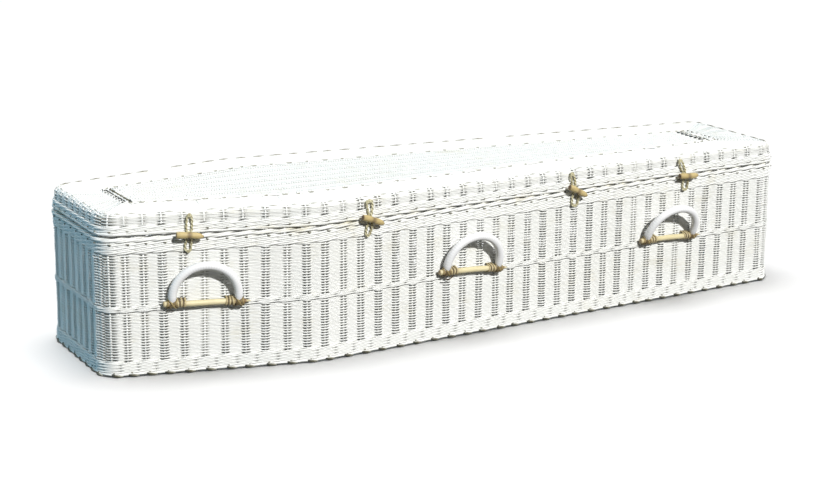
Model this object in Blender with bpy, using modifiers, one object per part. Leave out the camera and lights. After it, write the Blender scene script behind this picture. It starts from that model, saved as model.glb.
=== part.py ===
"""Woven cane coffin, painted white, with a lift-off lid, bar handles and toggle ties.

Sizes are in metres. +X runs from the head end to the foot end and +Z is up. The origin is
on the floor, under the middle of the coffin.
"""

import math

import bmesh
import bpy
from mathutils import Matrix, Vector

# Outline of the woven wall, seen from above
LENGTH = 1.93
HEAD_WIDTH = 0.364
SHOULDER_WIDTH = 0.58
FOOT_WIDTH = 0.364
SHOULDER_FROM_HEAD = 0.49
CORNER_RADIUS = 0.05
SHOULDER_RADIUS = 0.22

# Pieces that touch keep this gap
GAP = 0.0003

# Upright stakes in the wall, and how far they swell the weave and the weave sinks between them
STAKE_PITCH = 0.0475
STAKE_SWELL = 0.0015
WEAVE_SINK = 0.0025

# Body: height up to the seam, wall, floor and the bands that stand proud of the weave
BODY_HEIGHT = 0.33
WALL = 0.013
FLOOR = 0.012
BAND_EASE = 0.004
FOOT_BAND = 0.036
FOOT_PROUD = 0.005
WALE_MIDDLE = 0.162
WALE_WIDTH = 0.014
WALE_PROUD = 0.0035
TOP_BAND = 0.040
TOP_BAND_PROUD = 0.003
BORDER_ROLL = 0.018
BORDER_PROUD = 0.005

# Lid: height above the seam, wall, top, lower band and rounded upper edge
LID_HEIGHT = 0.0545
LID_WALL = 0.012
LID_TOP = 0.011
LID_BAND = 0.026
LID_BAND_PROUD = 0.002
LID_WEAVE_INSET = 0.001
LID_EDGE_RADIUS = 0.016
LID_EDGE_STEPS = 4

# Handles: a cane bar lashed to the wall and a stiff arch whose eyes hold the bar
BAR_LENGTH = 0.196
BAR_RADIUS = 0.0075
BAR_TIP_RADIUS = 0.003
BAR_TIP_LENGTH = 0.013
BAR_HEIGHT = 0.168
ARCH_SPREAD = 0.154
ARCH_LEG = 0.017
ARCH_TUBE_RADIUS = 0.0103
EYE_WALL = 0.0035
EYE_LENGTH = 0.022
LASHING_WIDTH = 0.019
LASHING_THICKNESS = 0.003
HEAD_HANDLE_FROM_HEAD = 0.23
FOOT_HANDLE_FROM_FOOT = 0.382
MIDDLE_HANDLE_SHARE = 0.524

# Each handle: name, turn of the bar down to the foot side, lean of the arch off the wall
HANDLES = (
    ("head", math.radians(1.5), math.radians(8)),
    ("middle", math.radians(4), math.radians(14)),
    ("foot", math.radians(2), math.radians(23)),
)

# Toggle ties across the seam: a stick held by one cane loop on the lid and one on the body
TOGGLE_LENGTH = 0.064
TOGGLE_RADIUS = 0.009
TOGGLE_TIP_RADIUS = 0.004
TOGGLE_TIP_LENGTH = 0.014
LOOP_RADIUS = 0.00275
LOOP_FROM_SEAM = 0.0045
LID_LOOP_LENGTH = 0.041
BODY_LOOP_LENGTH = 0.036
FIRST_TIE_FROM_HEAD = 0.197
LAST_TIE_FROM_FOOT = 0.329

# Each tie: share of the way from the first to the last, turn of the toggle down to the foot
# side, then slant and width of the lid loop, and slant and width of the body loop
TIES = (
    (0.0, math.radians(9), math.radians(-4), 0.020, math.radians(4), 0.018),
    (0.31, math.radians(20), math.radians(4), 0.018, math.radians(18), 0.014),
    (0.741, math.radians(25), math.radians(10), 0.013, math.radians(0), 0.020),
    (1.0, math.radians(1), math.radians(26), 0.013, math.radians(0), 0.017),
)

# Points along an arc of the outline, and round a turned piece
CORNER_STEPS = 5
SHOULDER_STEPS = 4
TURN_STEPS = 10
LOOP_POINTS = 10
ARCH_STEPS = 11

SIDES = ("front", "back")


# Scene, collections and materials

def clear_scene():
    for item in list(bpy.data.objects):
        bpy.data.objects.remove(item, do_unlink=True)


def new_collection(name):
    collection = bpy.data.collections.new(name)
    bpy.context.scene.collection.children.link(collection)
    return collection


def new_material(name, colour, roughness):
    material = bpy.data.materials.new(name)
    material.use_nodes = True
    shader = material.node_tree.nodes["Principled BSDF"]
    shader.inputs["Base Color"].default_value = (*colour, 1.0)
    shader.inputs["Roughness"].default_value = roughness
    shader.inputs["Metallic"].default_value = 0.0
    return material


def add_object(name, mesh, material, parent=None):
    item = bpy.data.objects.new(name, mesh)
    parts.objects.link(item)
    mesh.materials.clear()
    mesh.materials.append(material)
    item.parent = parent
    return item


def mesh_from(build, name):
    mesh = bpy.data.meshes.new(name)
    work = bmesh.new()
    build(work)
    work.to_mesh(mesh)
    work.free()
    return mesh


def shade_round(mesh):
    mesh.shade_smooth()
    mesh.set_sharp_from_angle(angle=math.radians(40))


# Outline of the coffin as straight sides and arcs, read by the distance along it

def half_outline():
    """Front half of the outline, from the middle of the head end to the middle of the foot end."""
    half = LENGTH / 2
    shoulder_x = -half + SHOULDER_FROM_HEAD
    return [
        Vector((-half, 0.0)),
        Vector((-half, -HEAD_WIDTH / 2)),
        Vector((shoulder_x, -SHOULDER_WIDTH / 2)),
        Vector((half, -FOOT_WIDTH / 2)),
        Vector((half, 0.0)),
    ]


def corner_arc(before, corner, after, radius):
    """Centre, radius, start angle and sweep of the fillet of one corner."""
    back = before - corner
    ahead = after - corner
    half_angle = back.angle(ahead) / 2
    reach = min(radius / math.tan(half_angle), 0.9 * back.length, 0.9 * ahead.length)
    radius = reach * math.tan(half_angle)
    back.normalize()
    ahead.normalize()
    centre = corner + (back + ahead).normalized() * radius / math.sin(half_angle)
    start = corner + back * reach - centre
    return centre, radius, math.atan2(start.y, start.x), math.pi - 2 * half_angle


def outline_segments():
    """Front half as a list of (kind, values, length), in the order they are met."""
    corners = half_outline()
    radii = (CORNER_RADIUS, SHOULDER_RADIUS, CORNER_RADIUS)
    segments = []
    place = corners[0]
    for number, radius in enumerate(radii, start=1):
        before, corner, after = corners[number - 1:number + 2]
        centre, radius, angle, sweep = corner_arc(before, corner, after, radius)
        start = centre + radius * Vector((math.cos(angle), math.sin(angle)))
        end = centre + radius * Vector((math.cos(angle + sweep), math.sin(angle + sweep)))
        segments.append(("line", (place, start), (start - place).length))
        segments.append(("arc", (centre, radius, angle, sweep), radius * sweep))
        place = end
    segments.append(("line", (place, corners[-1]), (corners[-1] - place).length))
    return segments


def outline_at(distance):
    """Point and outward normal at a distance along the whole outline."""
    distance %= PERIMETER
    mirrored = distance > PERIMETER / 2
    if mirrored:
        distance = PERIMETER - distance
    for segment in SEGMENTS:
        kind, values, length = segment
        if distance <= length or segment is SEGMENTS[-1]:
            break
        distance -= length
    if kind == "line":
        start, end = values
        along = (end - start).normalized()
        point = start + along * distance
        normal = Vector((along.y, -along.x))
    else:
        centre, radius, angle, sweep = values
        angle += distance / radius
        normal = Vector((math.cos(angle), math.sin(angle)))
        point = centre + normal * radius
    if mirrored:
        point = Vector((point.x, -point.y))
        normal = Vector((normal.x, -normal.y))
    return point, normal


def front_distance(x):
    """Distance along the outline of the front wall's point at this x."""
    low, high = 0.0, PERIMETER / 2
    for _ in range(50):
        middle = (low + high) / 2
        if outline_at(middle)[0].x < x:
            low = middle
        else:
            high = middle
    return low


def smooth_places():
    """Distances of the points that a plain band needs: the ends and inner points of each arc."""
    places = [0.0]
    start = 0.0
    for kind, values, length in SEGMENTS:
        if kind == "arc":
            steps = CORNER_STEPS if values[3] > math.radians(45) else SHOULDER_STEPS
            places += [start + length * step / steps for step in range(steps + 1)]
        start += length
    back = [PERIMETER - place for place in reversed(places[1:])]
    return places + [PERIMETER / 2] + back


def stake_places():
    """Distances of the hollows and stakes in turn, two for each stake."""
    count = 2 * max(4, round(PERIMETER / STAKE_PITCH / 2))
    return [PERIMETER * step / (2 * count) for step in range(2 * count)]


SEGMENTS = outline_segments()
PERIMETER = 2 * sum(length for _, _, length in SEGMENTS)


# Rings of points round the outline, and the faces between two rings

def plain_ring(work, offset, height):
    ring = []
    for place in smooth_places():
        point, normal = outline_at(place)
        at = point + normal * offset
        ring.append((place, work.verts.new((at.x, at.y, height))))
    return ring


def ribbed_ring(work, height):
    ring = []
    for number, place in enumerate(stake_places()):
        point, normal = outline_at(place)
        at = point + normal * (STAKE_SWELL if number % 2 else -WEAVE_SINK)
        ring.append((place, work.verts.new((at.x, at.y, height))))
    return ring


def join_rings(work, first, second):
    """Faces between two rings, matched by the distance along the outline."""
    one = first + [(PERIMETER, first[0][1])]
    two = second + [(PERIMETER, second[0][1])]
    i = 0
    j = 0
    same = PERIMETER * 1e-6
    while i < len(first) or j < len(second):
        next_one = one[i + 1][0] if i < len(first) else math.inf
        next_two = two[j + 1][0] if j < len(second) else math.inf
        if abs(next_one - next_two) < same:
            work.faces.new((one[i][1], one[i + 1][1], two[j + 1][1], two[j][1]))
            i += 1
            j += 1
        elif next_one < next_two:
            work.faces.new((one[i][1], one[i + 1][1], two[j][1]))
            i += 1
        else:
            work.faces.new((one[i][1], two[j + 1][1], two[j][1]))
            j += 1


def shell_from_rings(work, rings):
    """Closed vessel: a cap, the faces between the rings in turn, and a cap."""
    work.faces.new([vertex for _, vertex in reversed(rings[0])])
    for first, second in zip(rings, rings[1:]):
        join_rings(work, first, second)
    work.faces.new([vertex for _, vertex in rings[-1]])


# Body: foot band, woven wall, middle wale, woven wall, top band with its rolled border

def build_body(work):
    wale_low = WALE_MIDDLE - WALE_WIDTH / 2
    wale_high = WALE_MIDDLE + WALE_WIDTH / 2
    band_low = BODY_HEIGHT - TOP_BAND
    roll_low = BODY_HEIGHT - BORDER_ROLL
    rings = [
        plain_ring(work, FOOT_PROUD - BAND_EASE / 2, 0.0),
        plain_ring(work, FOOT_PROUD, BAND_EASE),
        plain_ring(work, FOOT_PROUD, FOOT_BAND - BAND_EASE),
        ribbed_ring(work, FOOT_BAND),
        ribbed_ring(work, wale_low - BAND_EASE),
        plain_ring(work, WALE_PROUD, wale_low),
        plain_ring(work, WALE_PROUD, wale_high),
        ribbed_ring(work, wale_high + BAND_EASE),
        ribbed_ring(work, band_low - BAND_EASE),
        plain_ring(work, TOP_BAND_PROUD, band_low),
        plain_ring(work, TOP_BAND_PROUD, roll_low),
        plain_ring(work, BORDER_PROUD, roll_low + BAND_EASE),
        plain_ring(work, BORDER_PROUD, BODY_HEIGHT - BAND_EASE),
        plain_ring(work, BORDER_PROUD - BAND_EASE, BODY_HEIGHT),
        plain_ring(work, BAND_EASE - WALL, BODY_HEIGHT),
        plain_ring(work, -WALL, BODY_HEIGHT - BAND_EASE),
        plain_ring(work, -WALL, FLOOR),
    ]
    shell_from_rings(work, rings)


# Lid: a tray upside down, built from its ceiling out and over the rounded edge to its top

def lid_surface(height):
    """How far the lid's side stands out at a height above the seam, without the edge's round."""
    return LID_BAND_PROUD if height < LID_BAND else -LID_WEAVE_INSET


def build_lid(work):
    low = BODY_HEIGHT + GAP
    top = BODY_HEIGHT + LID_HEIGHT
    edge_low = top - LID_EDGE_RADIUS
    rings = [
        plain_ring(work, -LID_WALL, top - LID_TOP),
        plain_ring(work, -LID_WALL, low),
        plain_ring(work, LID_BAND_PROUD - BAND_EASE / 2, low),
        plain_ring(work, LID_BAND_PROUD, low + BAND_EASE),
        plain_ring(work, LID_BAND_PROUD, low + LID_BAND - BAND_EASE),
        plain_ring(work, -LID_WEAVE_INSET, low + LID_BAND),
    ]
    for step in range(LID_EDGE_STEPS + 1):
        turn = math.pi / 2 * step / LID_EDGE_STEPS
        inward = LID_EDGE_RADIUS * (1 - math.cos(turn))
        height = edge_low + LID_EDGE_RADIUS * math.sin(turn)
        rings.append(plain_ring(work, -LID_WEAVE_INSET - inward, height))
    shell_from_rings(work, rings)


# Turned pieces: bars, lashings and toggles share one way of turning a profile about Z

def turned_mesh(name, profile, closed):
    """Profile of (radius, height) points turned about Z, from the top down its outer side."""
    mesh = bpy.data.meshes.new(name)
    points = [(radius, 0.0, height) for radius, height in profile]
    edges = [(number, number + 1) for number in range(len(points) - 1)]
    if closed:
        edges.append((len(points) - 1, 0))
    mesh.from_pydata(points, edges, [])
    item = bpy.data.objects.new(name, mesh)
    guides.objects.link(item)
    turn = item.modifiers.new("Turn", "SCREW")
    turn.axis = "Z"
    turn.steps = TURN_STEPS
    turn.render_steps = TURN_STEPS
    turn.use_merge_vertices = True
    turn.merge_threshold = 0.00001
    turned = evaluated_mesh(item, name)
    bpy.data.objects.remove(item, do_unlink=True)
    shade_round(turned)
    return turned


def evaluated_mesh(item, name):
    bpy.context.view_layer.update()
    graph = bpy.context.evaluated_depsgraph_get()
    mesh = bpy.data.meshes.new_from_object(item.evaluated_get(graph))
    mesh.name = name
    return mesh


def spindle_profile(length, radius, tip_radius, tip_length):
    half = length / 2
    return [
        (0.0, half),
        (tip_radius, half),
        (radius, half - tip_length),
        (radius, tip_length - half),
        (tip_radius, -half),
        (0.0, -half),
    ]


def bored(radius):
    """Radius of a bore whose flats clear a round bar of this radius by the gap."""
    return (radius + GAP) / math.cos(math.pi / TURN_STEPS)


# Arch: a bent tube with an eye at each foot, through which the bar passes

def tube_object(name, points, radius, cyclic):
    curve = bpy.data.curves.new(name, "CURVE")
    curve.dimensions = "3D"
    curve.bevel_depth = radius
    curve.bevel_resolution = 2 if radius > 2 * LOOP_RADIUS else 1
    curve.resolution_u = 1
    curve.render_resolution_u = 0
    curve.use_fill_caps = not cyclic
    spline = curve.splines.new("POLY")
    spline.points.add(len(points) - 1)
    for place, point in zip(spline.points, points):
        place.co = (*point, 1.0)
    spline.use_cyclic_u = cyclic
    item = bpy.data.objects.new(name, curve)
    guides.objects.link(item)
    return item


def tube_mesh(name, points, radius, cyclic=False):
    item = tube_object(name, points, radius, cyclic)
    mesh = evaluated_mesh(item, name)
    bpy.data.objects.remove(item, do_unlink=True)
    work = bmesh.new()
    work.from_mesh(mesh)
    bmesh.ops.remove_doubles(work, verts=work.verts, dist=0.00001)
    work.to_mesh(mesh)
    work.free()
    shade_round(mesh)
    return mesh


def arch_points():
    half = ARCH_SPREAD / 2
    points = [(-half, 0.0, 0.0)]
    for step in range(ARCH_STEPS + 1):
        turn = math.pi * step / ARCH_STEPS
        points.append((-half * math.cos(turn), 0.0, ARCH_LEG + half * math.sin(turn)))
    points.append((half, 0.0, 0.0))
    return points


def cylinder_object(name, radius, length, x):
    """Guide cylinder lying along X, with its middle at x."""
    turn = Matrix.Rotation(math.pi / 2, 4, "Y")
    place = Matrix.Translation((x, 0.0, 0.0)) @ turn

    def build(work):
        bmesh.ops.create_cone(work, cap_ends=True, segments=TURN_STEPS, radius1=radius,
                              radius2=radius, depth=length, matrix=place)

    item = bpy.data.objects.new(name, mesh_from(build, name))
    guides.objects.link(item)
    item.hide_render = True
    item.display_type = "WIRE"
    return item


def combine(item, other, operation):
    cut = item.modifiers.new(other.name, "BOOLEAN")
    cut.object = other
    cut.operation = operation
    cut.solver = "EXACT"


def build_arch_mesh():
    name = "handle_arch"
    tube = bpy.data.objects.new(name, tube_mesh(name, arch_points(), ARCH_TUBE_RADIUS))
    guides.objects.link(tube)
    guide_pieces = []
    for side in (-1, 1):
        x = side * ARCH_SPREAD / 2
        eye = cylinder_object("eye", EYE_RADIUS, EYE_LENGTH, x)
        combine(tube, eye, "UNION")
        guide_pieces.append(eye)
    for side in (-1, 1):
        x = side * ARCH_SPREAD / 2
        bore = cylinder_object("eye_bore", bored(BAR_RADIUS), 2 * EYE_LENGTH, x)
        combine(tube, bore, "DIFFERENCE")
        guide_pieces.append(bore)
    mesh = evaluated_mesh(tube, name)
    for item in [tube] + guide_pieces:
        bpy.data.objects.remove(item, do_unlink=True)
    shade_round(mesh)
    return mesh


# Frames on the wall: local x along the wall, local -y out of it, local z up

def wall_empty(name, x, side, stand_off, height):
    distance = front_distance(x)
    if side == "back":
        distance = PERIMETER - distance
    point, normal = outline_at(distance)
    at = point + normal * stand_off
    empty = bpy.data.objects.new(name, None)
    parts.objects.link(empty)
    empty.location = (at.x, at.y, height)
    empty.rotation_euler = (0.0, 0.0, math.atan2(normal.y, normal.x) + math.pi / 2)
    return empty


EYE_RADIUS = bored(BAR_RADIUS) + EYE_WALL
LASHING_RADIUS = bored(BAR_RADIUS) + LASHING_THICKNESS
BAR_STAND_OFF = WALE_PROUD + GAP + max(EYE_RADIUS, LASHING_RADIUS)
LASHING_PLACE = ARCH_SPREAD / 2 - EYE_LENGTH / 2 - GAP - LASHING_WIDTH / 2


def handle_stations():
    first = -LENGTH / 2 + HEAD_HANDLE_FROM_HEAD
    last = LENGTH / 2 - FOOT_HANDLE_FROM_FOOT
    return first, first + MIDDLE_HANDLE_SHARE * (last - first), last


def lashing_profile():
    half = LASHING_WIDTH / 2
    inner = bored(BAR_RADIUS)
    return [(inner, half), (LASHING_RADIUS, half), (LASHING_RADIUS, -half), (inner, -half)]


def add_handles():
    arch = build_arch_mesh()
    bar = turned_mesh(
        "handle_bar",
        spindle_profile(BAR_LENGTH, BAR_RADIUS, BAR_TIP_RADIUS, BAR_TIP_LENGTH), False)
    lashing = turned_mesh("lashing", lashing_profile(), True)
    across = (0.0, math.pi / 2, 0.0)
    for side in SIDES:
        mirror = 1 if side == "front" else -1
        for x, (place, turn, lean) in zip(handle_stations(), HANDLES):
            label = f"{side}_{place}"
            frame = wall_empty(f"frame_{label}", x, side, BAR_STAND_OFF, BAR_HEIGHT)
            frame.rotation_euler.rotate_axis("Y", mirror * turn)
            add_object(f"handle_arch_{label}", arch, white_paint, frame).rotation_euler = (lean, 0, 0)
            add_object(f"handle_bar_{label}", bar, bar_cane, frame).rotation_euler = across
            for end, shift in (("left", -LASHING_PLACE), ("right", LASHING_PLACE)):
                wrap = add_object(f"lashing_{label}_{end}", lashing, split_cane, frame)
                wrap.rotation_euler = across
                wrap.location = (shift, 0, 0)


# Toggle ties: the loops lie on the lid and on the body, and the toggle lies over both

LID_LOOP_STAND_OFF = LID_BAND_PROUD + GAP + LOOP_RADIUS
BODY_LOOP_STAND_OFF = BORDER_PROUD + GAP + LOOP_RADIUS
TOGGLE_STAND_OFF = max(LID_LOOP_STAND_OFF, BODY_LOOP_STAND_OFF) + LOOP_RADIUS + GAP + TOGGLE_RADIUS


def tie_stations():
    first = -LENGTH / 2 + FIRST_TIE_FROM_HEAD
    last = LENGTH / 2 - LAST_TIE_FROM_FOOT
    return [first + tie[0] * (last - first) for tie in TIES]


def loop_points(length, width, slant, upward):
    """Ring of points in the frame of the seam, from near the seam up or down by the length."""
    points = []
    for step in range(LOOP_POINTS):
        turn = 2 * math.pi * step / LOOP_POINTS
        along = LOOP_FROM_SEAM + length * (1 - math.cos(turn)) / 2
        across = width / 2 * math.sin(turn) * (1 - 0.3 * math.cos(turn))
        z = upward * along
        x = across * math.cos(slant) - along * math.sin(slant)
        points.append((x, z * math.cos(slant) + upward * across * math.sin(slant)))
    return points


def lid_loop_stand_off(height):
    """Follows the lid's lower band, then leans in to the weave above it."""
    start = LID_BAND + LOOP_RADIUS
    end = LOOP_FROM_SEAM + LID_LOOP_LENGTH
    share = min(max((height - start) / max(end - start, GAP), 0.0), 1.0)
    return LID_LOOP_STAND_OFF - share * (LID_BAND_PROUD + LID_WEAVE_INSET)


def body_loop_stand_off(drop):
    """Follows the border's roll, then leans in to the top band under it."""
    start = BORDER_ROLL
    end = TOP_BAND
    share = min(max((drop - start) / max(end - start, GAP), 0.0), 1.0)
    return BODY_LOOP_STAND_OFF - share * (BORDER_PROUD - TOP_BAND_PROUD)


def add_ties():
    toggle = turned_mesh(
        "toggle",
        spindle_profile(TOGGLE_LENGTH, TOGGLE_RADIUS, TOGGLE_TIP_RADIUS, TOGGLE_TIP_LENGTH), False)
    for side in SIDES:
        mirror = 1 if side == "front" else -1
        for number, (x, tie) in enumerate(zip(tie_stations(), TIES), start=1):
            _, turn, lid_slant, lid_width, body_slant, body_width = tie
            label = f"{side}_{number}"
            frame = wall_empty(f"seam_{label}", x, side, 0.0, BODY_HEIGHT)
            stick = add_object(f"toggle_{label}", toggle, toggle_wood, frame)
            stick.location = (0, -TOGGLE_STAND_OFF, 0)
            stick.rotation_euler = (0, math.pi / 2 + mirror * turn, 0)
            lid_ring = [(mirror * px, -lid_loop_stand_off(pz), pz) for px, pz in
                        loop_points(LID_LOOP_LENGTH, lid_width, lid_slant, 1)]
            body_ring = [(mirror * px, -body_loop_stand_off(-pz), pz) for px, pz in
                         loop_points(BODY_LOOP_LENGTH, body_width, body_slant, -1)]
            add_object(f"lid_loop_{label}",
                       tube_mesh("lid_loop", lid_ring, LOOP_RADIUS, True), loop_cane, frame)
            add_object(f"body_loop_{label}",
                       tube_mesh("body_loop", body_ring, LOOP_RADIUS, True), loop_cane, frame)


clear_scene()
parts = new_collection("rattan_coffin")
guides = new_collection("rattan_coffin_guides")

white_weave = new_material("white_painted_weave", (0.86, 0.86, 0.82), 0.6)
white_paint = new_material("white_painted_arch", (0.85, 0.85, 0.86), 0.45)
bar_cane = new_material("natural_cane_bar", (0.74, 0.60, 0.33), 0.4)
split_cane = new_material("split_cane_lashing", (0.62, 0.50, 0.26), 0.5)
toggle_wood = new_material("toggle_wood", (0.66, 0.48, 0.24), 0.5)
loop_cane = new_material("cane_loop", (0.68, 0.62, 0.40), 0.5)

add_object("coffin_body", mesh_from(build_body, "coffin_body"), white_weave)
add_object("coffin_lid", mesh_from(build_lid, "coffin_lid"), white_weave)
add_handles()
add_ties()
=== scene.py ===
import math

import bpy
import numpy as np
from mathutils import Matrix, Vector


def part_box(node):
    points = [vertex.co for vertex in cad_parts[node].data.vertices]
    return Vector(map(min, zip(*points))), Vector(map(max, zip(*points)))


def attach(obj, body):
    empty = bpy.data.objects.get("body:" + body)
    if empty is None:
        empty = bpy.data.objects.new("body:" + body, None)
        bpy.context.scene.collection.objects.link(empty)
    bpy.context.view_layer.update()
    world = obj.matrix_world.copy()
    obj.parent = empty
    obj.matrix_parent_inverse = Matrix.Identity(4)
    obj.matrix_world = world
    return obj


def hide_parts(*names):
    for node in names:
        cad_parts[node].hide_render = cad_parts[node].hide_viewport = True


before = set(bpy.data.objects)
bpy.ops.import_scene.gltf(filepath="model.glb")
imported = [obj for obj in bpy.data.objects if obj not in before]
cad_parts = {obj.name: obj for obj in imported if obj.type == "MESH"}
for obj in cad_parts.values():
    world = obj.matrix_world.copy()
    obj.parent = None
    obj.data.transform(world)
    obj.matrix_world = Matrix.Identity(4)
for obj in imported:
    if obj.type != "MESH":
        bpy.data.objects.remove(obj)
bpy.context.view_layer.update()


# The line of the basket
# The coffin is woven round one closed line, seen from above: narrow head end, shoulders,
# narrow foot end. Each round of cane keeps to that line, or on the lid to one inside it.

HALF_LENGTH = 0.965
END_HALF_WIDTH = 0.182
SHOULDER_HALF_WIDTH = 0.29
SHOULDER_FROM_HEAD = 0.49
CORNER_RADIUS = 0.05
TIGHTEST_CORNER = 0.018
SHOULDER_RADIUS = 0.22
CROWDED_CORNER = 0.17
RIM = 0.02
HEAD_BAND_SHARE = 0.76


class Line:
    """The outline of the basket, or one inset from it, read by the distance along it."""

    def __init__(self, inset=0.0):
        corners = [
            Vector((-HALF_LENGTH, 0.0)),
            Vector((-HALF_LENGTH, -END_HALF_WIDTH)),
            Vector((SHOULDER_FROM_HEAD - HALF_LENGTH, -SHOULDER_HALF_WIDTH)),
            Vector((HALF_LENGTH, -END_HALF_WIDTH)),
            Vector((HALF_LENGTH, 0.0)),
        ]
        radii = (CORNER_RADIUS, SHOULDER_RADIUS, CORNER_RADIUS)
        head_inset = inset - (1 - HEAD_BAND_SHARE) * max(inset - RIM, 0.0)
        insets = (head_inset, inset, inset, inset)
        inner = [corners[0] + Vector((head_inset, 0.0))]
        bends = []
        for number in (1, 2, 3):
            back = (corners[number - 1] - corners[number]).normalized()
            ahead = (corners[number + 1] - corners[number]).normalized()
            turned = abs(back.cross(ahead))
            inner.append(corners[number] + (ahead * insets[number - 1] + back * insets[number]) / turned)
            bends.append((back, (back + ahead).normalized(), back.angle(ahead) / 2))
        inner.append(corners[4] - Vector((inset, 0.0)))
        places = [inner[0]]
        normals = [Vector((-1.0, 0.0))]
        arcs = []
        for corner, radius, (back, towards, half_angle) in zip(inner[1:4], radii, bends):
            radius = max(radius - inset, TIGHTEST_CORNER)
            centre = corner + towards * radius / math.sin(half_angle)
            start = corner + back * radius / math.tan(half_angle) - centre
            first = math.atan2(start.y, start.x)
            sweep = math.pi - 2 * half_angle
            steps = 12 if sweep > 1 else 6
            arcs.append((len(places), len(places) + steps))
            for step in range(steps + 1):
                angle = first + sweep * step / steps
                normal = Vector((math.cos(angle), math.sin(angle)))
                places.append(centre + normal * radius)
                normals.append(normal)
        places.append(inner[4])
        normals.append(Vector((1.0, 0.0)))
        front = np.array(places)
        facing = np.array(normals)
        mirror = np.array((1.0, -1.0))
        points = np.concatenate([front, front[-2::-1] * mirror])
        self.normals = np.concatenate([facing, facing[-2::-1] * mirror])
        self.points = points
        self.along = np.concatenate([[0.0], np.cumsum(np.hypot(*np.diff(points, axis=0).T))])
        self.length = self.along[-1]
        self.front = front
        self.segments = [0.0]
        for first, last in arcs:
            self.segments += [self.along[first], self.along[last]]
        self.segments.append(self.along[len(front) - 1])
        self.starts = [points[0]] + [points[last] for _, last in arcs]
        self.facing = [self.normals[0]] + [self.normals[last] for _, last in arcs]

    def at(self, along):
        """Points and outward directions, one row each, at distances along the line."""
        along = np.mod(along, self.length)
        point, normal = (np.stack([np.interp(along, self.along, column) for column in table.T], -1)
                         for table in (self.points, self.normals))
        return point, normal / np.linalg.norm(normal, axis=-1, keepdims=True)

    def half_width(self, x):
        return -np.interp(x, self.front[:, 0], self.front[:, 1])

    def nearest(self, x, back=False):
        """Distance along the line of the side wall's point at this x."""
        along = np.interp(x, self.front[:, 0], self.along[:len(self.front)])
        return self.length - along if back else along

    def carry(self, along, outer):
        """Distances here that lie square across from distances along an outer line."""
        theirs = list(outer.segments)
        ours = list(self.segments)
        foot_side = outer.segments[5] - outer.segments[4]
        for number, reach in ((1, CROWDED_CORNER), (2, foot_side - CROWDED_CORNER)):
            facing = outer.facing[number]
            ahead = np.array((-facing[1], facing[0]))
            shift = (self.starts[number] - outer.starts[number]) @ ahead
            theirs.append(outer.segments[2 * number] + reach)
            ours.append(self.segments[2 * number] + reach - shift)
        along = np.mod(along, outer.length)
        at_back = along > outer.length / 2
        found = np.interp(np.where(at_back, outer.length - along, along), sorted(theirs), sorted(ours))
        return np.where(at_back, self.length - found, found)


wall = Line()


# The base
# A mat of flat splints woven across seven long sticks. It lies inside the foot of the wall,
# is never seen once the coffin stands on it, and is left plain.

BASE_HEIGHT = 0.0065
BASE_INSET = 0.009
BASE_STICK = 0.006
BASE_STICKS = 7
SPLINT_WIDTH = 0.011
SPLINT_THICKNESS = 0.0022
SPLINT_PITCH = 0.0118
PAINT_WHITE = (0.875, 0.88, 0.865, 1.0)
PAINT_CREAM = (0.85, 0.845, 0.795, 1.0)
BARE_CANE = (0.60, 0.54, 0.34, 1.0)
# The shaded cane colour and the near black beside it are painted shade.
SHADED_CANE = (0.16, 0.15, 0.09, 1.0)
PAINTED_HOLLOW_SHADE = (0.03, 0.03, 0.025, 1.0)
BODY_TOP = 0.33


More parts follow.
